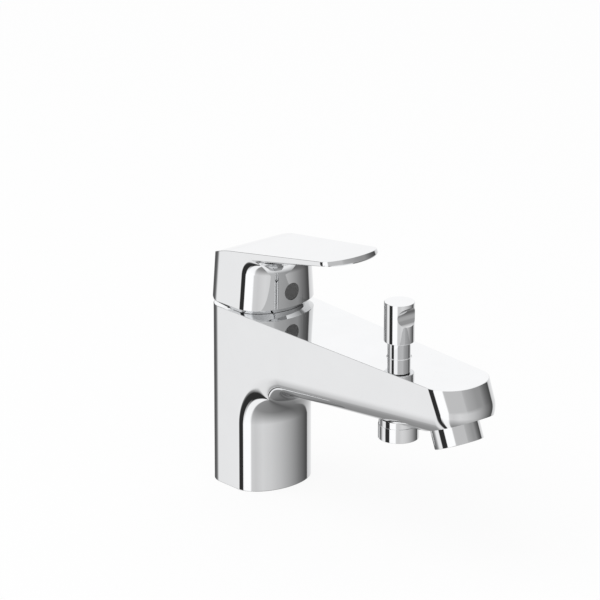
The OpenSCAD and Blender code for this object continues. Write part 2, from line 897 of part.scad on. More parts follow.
module nipple_seal() {
    color(rubber) on_diverter() ring(seal_seat_z, nipple_seal_t, spigot_r + fit, nipple_neck_r);
}

// The lower plate guides the poppet's stem and lets the water past through four holes.
module check_valve() {
    plate_z = check_z + check_plate;
    color(plastic)
        on_diverter()
            difference() {
                translate([0, 0, check_z]) cylinder(h = check_l, r = check_r);
                translate([0, 0, plate_z]) cylinder(h = check_l - 2 * check_plate, r = check_bore_r);
                translate([0, 0, plate_z]) cylinder(h = check_l, r = poppet_seat_r);
                translate([0, 0, check_z - over]) cylinder(h = check_l, r = check_stem_r + run);
                for (a = [45:90:315])
                    rotate([0, 0, a])
                        translate([check_hole_x, 0, check_z - over])
                            cylinder(h = check_plate + 2 * over, r = check_hole_r);
            }
}

module check_poppet() {
    color("ivory")
        on_diverter() {
            translate([0, 0, poppet_top_z - poppet_t]) cylinder(h = poppet_t, r = poppet_r);
            translate([0, 0, stem_z]) cylinder(h = poppet_top_z - stem_z, r = check_stem_r);
        }
}

module check_spring() {
    z = check_z + check_plate + fit;
    color("silver")
        on_diverter()
            coil(z, poppet_top_z - poppet_t - fit, check_spring_r, check_wire_r, check_turns);
}

// Aerator

module aerator_sleeve() {
    color(chrome)
        on_aerator()
            difference() {
                union() {
                    cylinder(h = sleeve_l + shoulder_l - fit, r = aerator_r);
                    cylinder(h = thread_top, r = thread_r);
                }
                translate([0, 0, lip_t]) cylinder(h = thread_top, r = insert_r);
                translate([0, 0, -over]) cylinder(h = thread_top, r = lip_r);
            }
}

module aerator_mesh() {
    field_r = insert_r - mesh_rim;
    rows = floor(field_r / mesh_pitch);
    color("silver")
        on_aerator()
            translate([0, 0, lip_t])
                difference() {
                    cylinder(h = mesh_t, r = insert_r - fit);
                    for (i = [-rows:rows], j = [-rows:rows])
                        if (norm([i, j]) * mesh_pitch < field_r)
                            translate([i * mesh_pitch, j * mesh_pitch, -over])
                                cylinder(h = mesh_t + 2 * over, r = mesh_hole_r);
                }
}

// The insert breaks the water into a ring of jets round one in the middle.
module aerator_insert() {
    jets = 8;
    color(plastic)
        on_aerator()
            translate([0, 0, lip_t + mesh_t])
                difference() {
                    cylinder(h = insert_l, r = insert_r - fit);
                    for (i = [0:jets - 1])
                        rotate([0, 0, 360 * i / jets])
                            translate([jet_ring_r, 0, -over]) cylinder(h = insert_l + 2 * over, r = jet_r);
                    translate([0, 0, -over]) cylinder(h = insert_l + 2 * over, r = jet_r);
                }
}

module aerator_gasket() {
    color(rubber) on_aerator() ring(thread_top, aerator_gasket_t, lip_r, thread_r);
}

body();
base_gasket();
cartridge_housing();
cartridge_base();
cartridge_seals();
fixed_disc();
moving_disc();
disc_driver();
cartridge_rotor();
pivot_pin();
spindle();
cartridge_nut();
shroud();
handle();
grub_screw();
indicator_plug();
diverter_knob();
diverter_rod();
diverter_bush();
bush_seal();
diverter_plug();
plug_seals();
diverter_spring();
shower_nipple();
nipple_seal();
check_valve();
check_poppet();
check_spring();
aerator_sleeve();
aerator_insert();
aerator_mesh();
aerator_gasket();
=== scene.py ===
import json
import math

import bmesh
import bpy
from mathutils import Matrix, Vector


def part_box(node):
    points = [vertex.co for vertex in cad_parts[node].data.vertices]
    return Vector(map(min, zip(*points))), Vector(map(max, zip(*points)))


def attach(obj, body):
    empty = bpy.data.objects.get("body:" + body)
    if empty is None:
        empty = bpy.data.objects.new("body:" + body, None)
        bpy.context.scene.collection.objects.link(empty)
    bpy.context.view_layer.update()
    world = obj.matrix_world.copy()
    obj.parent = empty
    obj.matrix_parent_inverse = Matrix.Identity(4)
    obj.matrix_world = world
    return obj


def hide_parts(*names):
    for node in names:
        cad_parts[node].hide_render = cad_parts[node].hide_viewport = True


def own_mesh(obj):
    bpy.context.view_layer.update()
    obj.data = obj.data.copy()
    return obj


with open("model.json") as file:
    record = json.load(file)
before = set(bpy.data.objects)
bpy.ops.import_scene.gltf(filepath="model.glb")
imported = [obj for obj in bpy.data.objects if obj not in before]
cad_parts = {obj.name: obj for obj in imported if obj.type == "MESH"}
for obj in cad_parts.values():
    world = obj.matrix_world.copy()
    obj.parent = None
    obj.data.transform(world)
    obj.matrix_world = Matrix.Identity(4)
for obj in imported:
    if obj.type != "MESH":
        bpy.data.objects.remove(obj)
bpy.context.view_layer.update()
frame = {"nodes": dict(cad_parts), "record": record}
nodes = frame["nodes"]
MM = 0.001

# Sizes of the mixer in millimetres, as its solids have them
COLUMN_HALF_L, COLUMN_HALF_W, BOW, TOP_Z = 22.4, 23.9, 15, 98
SPOUT_L, SIDE_TAPER, SPOUT_ROOT_Z, SPOUT_RISE = 166.4, 0.031, 54.8, 5.8
ROOT_R, ROOT_SIDE_R, TIP_LEAN, CHIN_R, CHIN_SIDE_R, SIDE_TUCK = 19, 34, 24, 15, 0.6, 5
GASKET_RING_R, GASKET_W, GASKET_H = 18.2, 2.4, 2
TAIL_BORE_R, TAIL_BORE_L, TAIL_X, TAIL_Y = 4.5, 18, 6, 7
STUD_BORE_R, STUD_BORE_L, STUD_X = 3.4, 16, 8
CARTRIDGE_BORE_R, SEAT_Z, NUT_BORE_R, NUT_Z = 17.45, 66, 18.45, 90
HANDLE_HALF_L, HANDLE_BACK, HANDLE_HALF_W, HANDLE_H, BLADE_RISE = 24, 1.8, 24.6, 32, 9.6
BLADE_REACH, BLADE_ROOT_T, BLADE_TIP_T = 78.4, 7.5, 3.4
HANDLE_TAPER, HANDLE_DRAFT, TIP_BOW, ROOT_CROWN, TIP_CROWN = 0.038, 5, 10, 4.2, 1.4
ARCH_R, BACK_FALL, HANDLE_Z, FOOT_H, FOOT_IN, LIFT = 9, 4.6, 98.1, 3, 3.4, 18
HOLLOW_R, HOLLOW_TOP_Z, BOSS_R, BOSS_Z, BRIDGE_W = 18.6, 115.1, 8.4, 104.6, 9
PIVOT_Z, SPINDLE_W, SPINDLE_TOP_Z = 100, 8, 117.2
DOT_Z, DOT_R, DOT_L, GRUB_R = 109.4, 4.6, 3, 2.5
DIVERTER_X, KNOB_R, KNOB_H, KNOB_Z = 109, 7.8, 21, 106.4
BUSH_NECK_R, BUSH_NECK_H, BUSH_R, BUSH_Z, ROD_R = 5.9, 8, 6.4, 90, 2.5
NIPPLE_R, NIPPLE_NECK_R, NIPPLE_Z, NIPPLE_L = 10.478, 10.178, 54.5, 11
NIPPLE_THREAD_L, CHECK_R, CHECK_L = 7.5, 7, 10.5
AERATOR_R, OUTLET, AERATOR_TILT, SLEEVE_L = 12.7, (155.6, 0, 64.8), 22.8, 10
SHOULDER_L, THREAD_L, THREAD_R, INSERT_R, LIP_R = 3, 9, 12, 10.6, 9.6
SPRING_WIRE_R, SPRING_TURNS, PULL = 0.45, 6, 7
CHECK_WIRE_R, CHECK_TURNS, CHECK_OPEN = 0.22, 4, 1.2
NOSE_SHARE, KEEL_SHARE = 0.35, 0.2
HOLD_R, HOLD_DEPTH, HOLD_DROP, ROD_HOLE_L = 6, 2.6, 6.7, 12
LIP_T, DOT_RECESS, FIT = 1, 0.1, 0.05

# Widths of the soft edges, which the solids don't have
CASTING_EDGE, LEVER_EDGE, KNOB_EDGE, SMALL_EDGE, NECK_EDGE = 0.4, 0.4, 0.35, 0.3, 0.2
# How far a cutter goes past a face, half the width of those wider than the mixer, and what counts as level
OVER, CUT_HALF_W, LEVEL_WITHIN = 1, 30, 0.01
# Steps of an arc, degrees between rings, sides of the round pieces and of the springs' wires
ARC_STEPS, BOW_STEP = 24, 1.5
SIDES, FINE_SIDES, DOT_SIDES, BORE_SIDES = 128, 160, 96, 48
COIL_SIDES, COIL_STEPS = 8, 24
# Degrees under which faces become one or are shaded smooth, and over which a rim is rounded
FLAT_ANGLE, SMOOTH_ANGLE, RIM_ANGLE, SKIN_RIM_ANGLE = 0.05, 32, 40, 50
# Metres within which points become one, and the least upward share of a top face's normal
MERGE_M, UPWARD = 1e-7, 0.9


# Camera at the photograph's place: degrees, millimetres from the origin and the lens in pixels

CAMERA_TURN, CAMERA_TILT = 50.5, 19.64
CAMERA_BACK, CAMERA_RIGHT, CAMERA_UP = 2390.3, 19.32, 92.39
LENS_PIXELS, PICTURE_PIXELS, SENSOR_MM, CLIP_END_M = 4513.7, 600, 36, 50


def place_camera():
    turn, tilt = math.radians(CAMERA_TURN), math.radians(CAMERA_TILT)
    right = Vector((math.cos(turn), math.sin(turn), 0))
    back = Vector((math.sin(turn) * math.cos(tilt), -math.cos(turn) * math.cos(tilt), math.sin(tilt)))
    up = back.cross(right)
    eye = (back * CAMERA_BACK + right * CAMERA_RIGHT + up * CAMERA_UP) * MM
    camera = bpy.data.objects.new("camera", bpy.data.cameras.new("camera"))
    camera.data.sensor_width = SENSOR_MM
    camera.data.lens = LENS_PIXELS / PICTURE_PIXELS * SENSOR_MM
    camera.data.clip_end = CLIP_END_M
    camera.matrix_world = Matrix((
        (right.x, up.x, back.x, eye.x),
        (right.y, up.y, back.y, eye.y),
        (right.z, up.z, back.z, eye.z),
        (0, 0, 0, 1),
    ))
    bpy.context.scene.collection.objects.link(camera)
    bpy.context.scene.camera = camera


# Modelling by hand

def pick(test):
    """Selects the faces of the mesh in edit mode for which test(face) holds."""
    mesh = bmesh.from_edit_mesh(bpy.context.object.data)
    bpy.ops.mesh.select_mode(type="FACE")
    bpy.ops.mesh.select_all(action="DESELECT")
    for face in mesh.faces:
        if test(face):
            face.select_set(True)
    mesh.select_flush_mode()
    bmesh.update_edit_mesh(bpy.context.object.data)


def edit(on):
    bpy.ops.object.mode_set(mode="EDIT" if on else "OBJECT")


def add_cylinder(name, r, z0, z1, at=(0, 0), sides=SIDES):
    bpy.ops.object.select_all(action="DESELECT")
    bpy.ops.mesh.primitive_cylinder_add(
        vertices=sides, radius=r * MM, depth=(z1 - z0) * MM,
        location=(at[0] * MM, at[1] * MM, (z0 + z1) / 2 * MM))
    bpy.context.object.name = name
    return bpy.context.object


def add_box(name, low, high):
    bpy.ops.object.select_all(action="DESELECT")
    bpy.ops.mesh.primitive_cube_add(size=1, location=[(a + b) / 2 * MM for a, b in zip(low, high)])
    bpy.context.object.scale = [(b - a) * MM for a, b in zip(low, high)]
    bpy.ops.object.transform_apply(location=True, rotation=True, scale=True)
    bpy.context.object.name = name
    return bpy.context.object


def settle(piece, turn=None):
    """Puts a piece's place, and a turn before it, into its mesh."""
    bpy.ops.object.select_all(action="DESELECT")
    piece.select_set(True)
    bpy.context.view_layer.objects.active = piece
    if turn is not None:
        piece.matrix_world = turn @ piece.matrix_world
    bpy.ops.object.transform_apply(location=True, rotation=True, scale=True)
    return piece


def modify(piece, kind, **values):
    bpy.ops.object.select_all(action="DESELECT")
    piece.select_set(True)
    bpy.context.view_layer.objects.active = piece
    modifier = piece.modifiers.new(kind.lower(), kind)
    for key, value in values.items():
        setattr(modifier, key, value)
    bpy.ops.object.modifier_apply(modifier=modifier.name)


def round_edges(piece, width, angle=RIM_ANGLE):
    """Rounds the edges over an angle. One that lacks room makes all of them narrower."""
    modify(piece, "BEVEL", width=width * MM, segments=3, limit_method="ANGLE",
           angle_limit=math.radians(angle), harden_normals=False)


def cut(piece, *cutters):
    for cutter in cutters:
        settle(cutter)
        modify(piece, "BOOLEAN", operation="DIFFERENCE", solver="EXACT", object=cutter)
        bpy.data.objects.remove(cutter)
    return piece


def finish(piece, name, body, material, *replaced):
    """Names and shades a piece, and puts it on a body in place of CAD nodes."""
    settle(piece)
    piece.name = name
    piece.data.name = name
    piece.data.materials.clear()
    piece.data.materials.append(material)
    bpy.ops.object.shade_smooth_by_angle(angle=math.radians(SMOOTH_ANGLE))
    modify(piece, "WEIGHTED_NORMAL", mode="FACE_AREA", weight=50, keep_sharp=True)
    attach(piece, body)
    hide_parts(*replaced)


def raise_top(inset, height):
    """Draws a narrower part up out of the top of the piece that is chosen."""
    edit(True)
    pick(lambda face: face.normal.z > UPWARD)
    bpy.ops.mesh.inset(thickness=inset * MM)
    bpy.ops.mesh.extrude_region_move(TRANSFORM_OT_translate={"value": (0, 0, height * MM)})
    edit(False)


def close_end(side, top=None):
    """Closes the open end of the mesh in edit mode on one side, below a height or as a whole."""
    mesh = bmesh.from_edit_mesh(bpy.context.object.data)
    bpy.ops.mesh.select_mode(type="VERT")
    bpy.ops.mesh.select_all(action="DESELECT")
    for vertex in mesh.verts:
        if vertex.is_boundary and vertex.co.y * side > 0 and (top is None or vertex.co.z < top * MM):
            vertex.select_set(True)
    mesh.select_flush_mode()
    bpy.ops.mesh.edge_face_add()


def wrap(name, rings, foot_z=None):
    """A sheet wrapped over rings of points and closed at its ends, below foot_z by a face of its own."""
    count, around = len(rings), len(rings[0])
    bpy.ops.object.select_all(action="DESELECT")
    bpy.ops.mesh.primitive_grid_add(x_subdivisions=around, y_subdivisions=count - 1, size=1)
    piece = bpy.context.object
    piece.name = name
    for i, vertex in enumerate(piece.data.vertices):
        row, column = divmod(i, around + 1)
        vertex.co = Vector(rings[row][column % around]) * MM
    edit(True)
    bpy.ops.mesh.select_all(action="SELECT")
    bpy.ops.mesh.remove_doubles(threshold=MERGE_M)
    for side in (-1, 1):
        if foot_z:
            close_end(side, foot_z)
        close_end(side)
    bpy.ops.mesh.select_all(action="SELECT")
    bpy.ops.mesh.normals_make_consistent(inside=False)
    # Flat faces become one, so that their edges can be rounded
    bpy.ops.mesh.dissolve_limited(angle_limit=math.radians(FLAT_ANGLE))
    edit(False)
    return piece


def blend(x, line_z, rise, r):
    """Points of a hollow blend from a wall at x to a line that rises, line_z high at x."""
    cx, cz = x + r, line_z + r * math.tan(rise) - r / math.cos(rise)
    turns = [math.pi + (rise - math.pi / 2) * i / ARC_STEPS for i in range(ARC_STEPS + 1)]
    return [(cx + r * math.cos(a), cz + r * math.sin(a)) for a in turns]


def bow_angles():
    """From one side of the mixer to the other."""
    return [math.radians(90 - BOW_STEP * i) for i in range(round(180 / BOW_STEP) + 1)]


# The casting: column and spout in one

def casting_ring(a):
    """Outline of the column and the spout, shorter and thinner towards the sides."""
    inset = BOW * (1 - math.cos(a))
    rise, lean = math.radians(SPOUT_RISE), math.tan(math.radians(TIP_LEAN))
    slope = math.tan(rise)
    wall = COLUMN_HALF_L - inset
    line_z = SPOUT_ROOT_Z + (wall - COLUMN_HALF_L) * slope + inset / math.cos(rise)
    nose = SPOUT_L - inset
    outline = [(-wall, 0), (wall, 0)]
    outline += blend(wall, line_z, rise, ROOT_R + (ROOT_SIDE_R - ROOT_R) * (1 - math.cos(a)))
    r = CHIN_R + (CHIN_SIDE_R - CHIN_R) * (1 - math.cos(a))
    x = nose + (TOP_Z - line_z + wall * slope - r / math.cos(rise)) * lean - r * math.hypot(1, lean)
    x /= 1 + lean * slope
    z = line_z + (x - wall) * slope + r / math.cos(rise)
    first, last = rise - math.pi / 2, math.atan(lean)
    turns = [first + (last - first) * i / ARC_STEPS for i in range(ARC_STEPS + 1)]
    outline += [(x + r * math.cos(t), z + r * math.sin(t)) for t in turns]
    outline += [(nose, TOP_Z), (-wall, TOP_Z)]
    ring = []
    for x, z in outline:
        along = max(0, (x - COLUMN_HALF_L) / (SPOUT_L - COLUMN_HALF_L))
        tuck = SIDE_TUCK * along * ((TOP_Z - z) / (TOP_Z - SPOUT_ROOT_Z)) ** 2
        ring.append((x, math.sin(a) * (COLUMN_HALF_W - SIDE_TAPER * x - tuck), z))
    return ring


def on_aerator():
    return Matrix.Translation(Vector(OUTLET) * MM) @ Matrix.Rotation(math.radians(-AERATOR_TILT), 4, "Y")


# What is cut off the chin, on the aerator's axes
CHIN_BOX = (-32, -CUT_HALF_W, SLEEVE_L - 30), (40, CUT_HALF_W, SLEEVE_L)


def make_casting(material):
    casting = wrap("casting", [casting_ring(a) for a in bow_angles()])
    round_edges(casting, CASTING_EDGE, SKIN_RIM_ANGLE)
    cut(casting, settle(add_box("chin", *CHIN_BOX), on_aerator()))
    at = (DIVERTER_X, 0)
    shoulder = SLEEVE_L + SHOULDER_L
    cut(
        casting,
        make_gasket_groove(),
        add_cylinder("cartridge_bore", CARTRIDGE_BORE_R, SEAT_Z, TOP_Z + OVER),
        add_cylinder("nut_bore", NUT_BORE_R, NUT_Z, TOP_Z + OVER),
        add_cylinder("nipple_bore", NIPPLE_NECK_R + FIT, NIPPLE_Z, NIPPLE_Z + NIPPLE_L + OVER, at),
        add_cylinder("bush_bore", BUSH_R + FIT, BUSH_Z, TOP_Z + OVER, at),
        settle(add_cylinder("sleeve_bore", AERATOR_R + FIT, 0, shoulder), on_aerator()),
        settle(add_cylinder("thread_bore", THREAD_R + FIT, 0, shoulder + THREAD_L), on_aerator()),
        add_cylinder("stud_bore", STUD_BORE_R, -OVER, STUD_BORE_L, (STUD_X, 0), BORE_SIDES),
        add_cylinder("hot_bore", TAIL_BORE_R, -OVER, TAIL_BORE_L, (-TAIL_X, -TAIL_Y), BORE_SIDES),
        add_cylinder("cold_bore", TAIL_BORE_R, -OVER, TAIL_BORE_L, (-TAIL_X, TAIL_Y), BORE_SIDES),
    )
    finish(casting, "casting_skin", "casting", material, "body")


def make_gasket_groove():
    groove = add_cylinder("groove", GASKET_RING_R + GASKET_W / 2, -OVER, GASKET_H)
    return cut(groove, add_cylinder("groove_core", GASKET_RING_R - GASKET_W / 2, -2 * OVER, GASKET_H + OVER))


# The lever

def lever_back(a):
    """Place of the lever's back wall in a ring."""
    return BOW * (1 - math.cos(a)) + HANDLE_BACK - HANDLE_HALF_L


# Where the lever's top bends as it falls to the back: each place but the first three is the end of a ring
FALL_RINGS = (90, 82.5, 75, 67.5, 60, 51, 42, 30, 0)
FALL_X = [0, -2.4, -4.8] + [lever_back(math.radians(degrees)) for degrees in FALL_RINGS]


def back_fall(x):
    """Fall of the lever's top behind its middle, straight between the bends."""
    for first, last in zip(FALL_X, FALL_X[1:]):
        if x >= last:
            break
    share = (x - first) / (last - first)
    low, high = (BACK_FALL * (bend / FALL_X[-1]) ** 2 for bend in (first, last))
    return low + (high - low) * share


def lever_ring(a):
    """Outline of the block and the blade, shorter and thinner towards the sides."""
    bowed = 1 - math.cos(a)
    inset = BOW * bowed
    slope, draft = math.tan(math.radians(BLADE_RISE)), math.tan(math.radians(HANDLE_DRAFT))
    wall, back = HANDLE_HALF_L - inset, lever_back(a)
    tip = BLADE_REACH - TIP_BOW * bowed
    base_z, foot_z = TOP_Z + HANDLE_H, HANDLE_Z + FOOT_H
    tip_top_z = base_z + tip * slope
    tip_low_z = tip_top_z - BLADE_TIP_T + TIP_CROWN * bowed
    under_z = base_z + wall * slope - BLADE_ROOT_T + ROOT_CROWN * bowed
    under = (tip_low_z - under_z) / (tip - wall)
    nose, keel = NOSE_SHARE * (tip_top_z - tip_low_z), KEEL_SHARE * (tip_top_z - tip_low_z)
    outline = [(back, foot_z, 0), (back + FOOT_IN, HANDLE_Z, FOOT_IN)]
    outline += [(wall - FOOT_IN, HANDLE_Z, FOOT_IN), (wall, foot_z, 0)]
    outline += [(x, z, 0) for x, z in blend(wall, under_z, math.atan(under), ARCH_R)]
    outline += [(tip - keel, tip_low_z - keel * under, 0), (tip, tip_low_z + keel, 0)]
    outline += [(tip - nose, tip_top_z - nose * slope, 0)]
    for bend in FALL_X:
        x = max(back, bend)
        outline.append((x, base_z + x * slope - back_fall(x), 0))
    ring = []
    for x, z, foot in outline:
        side = HANDLE_HALF_W - HANDLE_TAPER * x - draft * (z - foot_z) - foot
        ring.append((x, math.sin(a) * side, z))
    return ring


def lift_wedge(z):
    """What is cut off below a height at the back, so that the lever can lift."""
    wedge = add_box("wedge", (-2 * HANDLE_HALF_L, -CUT_HALF_W, -HANDLE_HALF_L), (0, CUT_HALF_W, 0))
    turn = Matrix.Translation((0, 0, z * MM)) @ Matrix.Rotation(math.radians(LIFT), 4, "Y")
    return settle(wedge, turn)


def make_hollow():
    """What is hollow in the lever's block: a round space less the boss round the spindle."""
    top = HOLLOW_TOP_Z + OVER
    boss = add_cylinder("boss", BOSS_R, BOSS_Z, top)
    bridge = add_box("bridge", (0, -BRIDGE_W / 2, BOSS_Z), (HOLLOW_R + OVER, BRIDGE_W / 2, top))
    settle(boss)
    modify(boss, "BOOLEAN", operation="UNION", solver="EXACT", object=bridge)
    bpy.data.objects.remove(bridge)
    cut(boss, lift_wedge(BOSS_Z))
    return cut(add_cylinder("hollow", HOLLOW_R, HANDLE_Z - OVER, HOLLOW_TOP_Z), boss)


def on_dot():
    return Matrix.Translation((0, 0, DOT_Z * MM)) @ Matrix.Rotation(math.radians(90), 4, "Y")


def make_lever(material):
    lever = wrap("lever", [lever_ring(a) for a in bow_angles()], HANDLE_Z + FOOT_H + LEVEL_WITHIN)
    round_edges(lever, LEVER_EDGE, SKIN_RIM_ANGLE)
    cut(lever, lift_wedge(HANDLE_Z))
    lean = Matrix.Translation((0, 0, PIVOT_Z * MM)) @ Matrix.Rotation(math.radians(LIFT / 2), 4, "Y")
    half = SPINDLE_W / 2 + FIT
    cut(
        lever,
        make_hollow(),
        settle(add_box("socket", (-half, -half, 0), (half, half, SPINDLE_TOP_Z - PIVOT_Z)), lean),
        settle(add_cylinder("grub_bore", GRUB_R + FIT, 0, 2 * HANDLE_HALF_L, sides=BORE_SIDES), on_dot()),
        settle(add_cylinder("dot_bore", DOT_R + FIT, HANDLE_HALF_L - DOT_L, 2 * HANDLE_HALF_L), on_dot()),
    )
    finish(lever, "lever_skin", "lever", material, "handle")


def make_dot(material):
    """The grey plug in the lever's front, with a soft edge."""
    front = HANDLE_HALF_L - DOT_RECESS
    dot = settle(add_cylinder("dot", DOT_R, HANDLE_HALF_L - DOT_L, front, sides=DOT_SIDES), on_dot())
    round_edges(dot, SMALL_EDGE)
    finish(dot, "indicator_dot", "lever", material, "indicator_plug")


# The diverter

def make_knob(material):
    """The knob with a round hold for a finger in its front."""
    at, top = (DIVERTER_X, 0), KNOB_Z + KNOB_H
    knob = settle(add_cylinder("knob", KNOB_R, KNOB_Z, top, at, FINE_SIDES))
    round_edges(knob, KNOB_EDGE)
    hold = add_cylinder("hold", HOLD_R, -2 * HOLD_R, 2 * HOLD_R)
    centre = Vector((DIVERTER_X + KNOB_R - HOLD_DEPTH + HOLD_R, 0, top - HOLD_DROP)) * MM
    cut(
        knob,
        settle(hold, Matrix.Translation(centre) @ Matrix.Rotation(math.radians(90), 4, "X")),
        add_cylinder("rod_bore", ROD_R + FIT, KNOB_Z - OVER, KNOB_Z + ROD_HOLE_L, at, BORE_SIDES),
    )
    finish(knob, "knob", "diverter", material, "diverter_knob")


def make_neck(material):
    at, top = (DIVERTER_X, 0), TOP_Z + BUSH_NECK_H
    neck = settle(add_cylinder("neck", BUSH_R, BUSH_Z, TOP_Z, at))
    raise_top(BUSH_R - BUSH_NECK_R, BUSH_NECK_H)
    round_edges(neck, NECK_EDGE)
    cut(neck, add_cylinder("rod_bore", ROD_R + FIT, BUSH_Z - OVER, top + OVER, at, BORE_SIDES))
    finish(neck, "diverter_neck", "casting", material, "diverter_bush")


def make_coil(name, node, wire_r, turns, material):
    """A spring as a coil of wire in its node's place."""
    low, high = (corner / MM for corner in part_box(node))
    coil_r = (high.x - low.x) / 2 - wire_r
    rise = high.z - low.z - 2 * wire_r
    bpy.ops.object.select_all(action="DESELECT")
    bpy.ops.mesh.primitive_circle_add(
        vertices=COIL_SIDES, radius=wire_r * MM, location=(coil_r * MM, 0, (low.z + wire_r) * MM),
        rotation=(math.radians(90), 0, 0))
    coil = settle(bpy.context.object)
    modify(coil, "SCREW", angle=math.radians(360), steps=COIL_STEPS, render_steps=COIL_STEPS,
           screw_offset=rise / turns * MM, iterations=turns)
    edit(True)
    bpy.ops.mesh.select_all(action="SELECT")
    bpy.ops.mesh.fill_holes(sides=0)
    bpy.ops.mesh.select_all(action="SELECT")
    bpy.ops.mesh.normals_make_consistent(inside=False)
    edit(False)
    settle(coil, Matrix.Translation((DIVERTER_X * MM, 0, 0)))
    finish(coil, name, "casting", material, node)
    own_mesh(coil)


# The shower outlet and the aerator

def make_nipple(material):
    at, top = (DIVERTER_X, 0), NIPPLE_Z + NIPPLE_THREAD_L
    nipple = settle(add_cylinder("nipple", NIPPLE_R, NIPPLE_Z, top, at, FINE_SIDES))
    raise_top(NIPPLE_R - NIPPLE_NECK_R, NIPPLE_L - NIPPLE_THREAD_L)
    round_edges(nipple, SMALL_EDGE)
    cut(nipple, add_cylinder("valve_bore", CHECK_R + FIT, NIPPLE_Z - OVER, NIPPLE_Z + CHECK_L, at))
    finish(nipple, "outlet_nipple", "casting", material, "shower_nipple")


def make_sleeve(material):
    turn, top = on_aerator(), SLEEVE_L + SHOULDER_L
    sleeve = settle(add_cylinder("sleeve", AERATOR_R, 0, top - FIT, sides=FINE_SIDES), turn)
    round_edges(sleeve, SMALL_EDGE)
    cut(
        sleeve,
        settle(add_cylinder("sleeve_bore", INSERT_R, LIP_T, top + OVER), turn),
        settle(add_cylinder("lip_bore", LIP_R, -OVER, LIP_T + OVER), turn),
    )
    finish(sleeve, "aerator_ring", "casting", material, "aerator_sleeve")


# Finishes

def new_material(name):
    material = bpy.data.materials.new(name)
    material.use_nodes = True
    material.node_tree.nodes.clear()
    shader = material.node_tree.nodes.new("ShaderNodeBsdfPrincipled")
    output = material.node_tree.nodes.new("ShaderNodeOutputMaterial")
    material.node_tree.links.new(shader.outputs["BSDF"], output.inputs["Surface"])
    return material, material.node_tree, shader


# Grains across a cloud of the wipe marks, and the height of the grain
GRAIN_PER_CLOUD, BUMP_M = 22, 0.0001


def make_wipe_group():
    """Faint wipe marks and grain of a finished surface: a roughness, a height and a shade."""
    group = bpy.data.node_groups.new("wipe_marks", "ShaderNodeTree")
    face = group.interface
    for name in ("Scale", "Roughness", "Spread"):
        face.new_socket(name=name, in_out="INPUT", socket_type="NodeSocketFloat")
    for name in ("Roughness", "Height", "Shade"):
        face.new_socket(name=name, in_out="OUTPUT", socket_type="NodeSocketFloat")
    new, link = group.nodes.new, group.links.new
    inputs, outputs = new("NodeGroupInput"), new("NodeGroupOutput")
    place = new("ShaderNodeTexCoord")
    cloud = new("ShaderNodeTexNoise")
    cloud.inputs["Detail"].default_value = 4
    grain = new("ShaderNodeTexNoise")
    grain.inputs["Detail"].default_value = 2
    finer = new("ShaderNodeMath")
    finer.operation = "MULTIPLY"
    finer.inputs[1].default_value = GRAIN_PER_CLOUD
    link(place.outputs["Object"], cloud.inputs["Vector"])
    link(place.outputs["Object"], grain.inputs["Vector"])
    link(inputs.outputs["Scale"], cloud.inputs["Scale"])
    link(inputs.outputs["Scale"], finer.inputs[0])
    link(finer.outputs[0], grain.inputs["Scale"])
    centred = new("ShaderNodeMath")
    centred.operation = "SUBTRACT"
    centred.inputs[1].default_value = 0.5
    link(cloud.outputs["Fac"], centred.inputs[0])
    rough = new("ShaderNodeMath")
    rough.operation = "MULTIPLY_ADD"
    link(centred.outputs[0], rough.inputs[0])
    link(inputs.outputs["Spread"], rough.inputs[1])
    link(inputs.outputs["Roughness"], rough.inputs[2])
    link(rough.outputs[0], outputs.inputs["Roughness"])
    link(grain.outputs["Fac"], outputs.inputs["Height"])
    link(cloud.outputs["Fac"], outputs.inputs["Shade"])
    return group


def make_finish(group, name, dark, light, metallic, roughness, spread, scale, bump):
    """A finish whose colour runs from dark to light with the wipe marks."""
    material, tree, shader = new_material(name)
    marks = tree.nodes.new("ShaderNodeGroup")
    marks.node_tree = group
    marks.inputs["Scale"].default_value = scale
    marks.inputs["Roughness"].default_value = roughness
    marks.inputs["Spread"].default_value = spread
    mix = tree.nodes.new("ShaderNodeMix")
    mix.data_type = "RGBA"
    mix.inputs["A"].default_value = (*dark, 1)
    mix.inputs["B"].default_value = (*light, 1)
    tree.links.new(marks.outputs["Shade"], mix.inputs["Factor"])
    tree.links.new(mix.outputs["Result"], shader.inputs["Base Color"])
    tree.links.new(marks.outputs["Roughness"], shader.inputs["Roughness"])
    if bump:
        height = tree.nodes.new("ShaderNodeBump")
        height.inputs["Strength"].default_value = bump
        height.inputs["Distance"].default_value = BUMP_M
        tree.links.new(marks.outputs["Height"], height.inputs["Height"])
        tree.links.new(height.outputs["Normal"], shader.inputs["Normal"])
    shader.inputs["Metallic"].default_value = metallic
    return material


def make_finishes():
    """A finish for each of the record's material slots, keyed by the slot."""
    group = make_wipe_group()
    rows = {
        # slot: name, darkest and lightest colour, metallic, roughness and its spread, scale, bump
        "chrome": ("polished_chrome", (0.86, 0.865, 0.87), (0.9, 0.905, 0.91), 1, 0.035, 0.02, 60, 0),
        "steel": ("plain_steel", (0.5, 0.5, 0.51), (0.62, 0.62, 0.63), 1, 0.3, 0.12, 120, 0.1),
        "brass": ("turned_brass", (0.62, 0.46, 0.2), (0.74, 0.58, 0.28), 1, 0.28, 0.12, 120, 0.1),
        "white_plastic": ("moulded_plastic", (0.78,) * 3, (0.84,) * 3, 0, 0.42, 0.1, 80, 0.15),
        "ceramic": ("lapped_ceramic", (0.86, 0.85, 0.8), (0.92, 0.91, 0.87), 0, 0.15, 0.06, 90, 0),
        "grey_plastic": ("grey_plug", (0.13,) * 3, (0.15,) * 3, 0, 0.5, 0.1, 150, 0.1),
        "rubber": ("black_rubber", (0.02,) * 3, (0.035,) * 3, 0, 0.7, 0.15, 140, 0.3),
    }
    return {slot: make_finish(group, *row) for slot, row in rows.items()}


# Studio

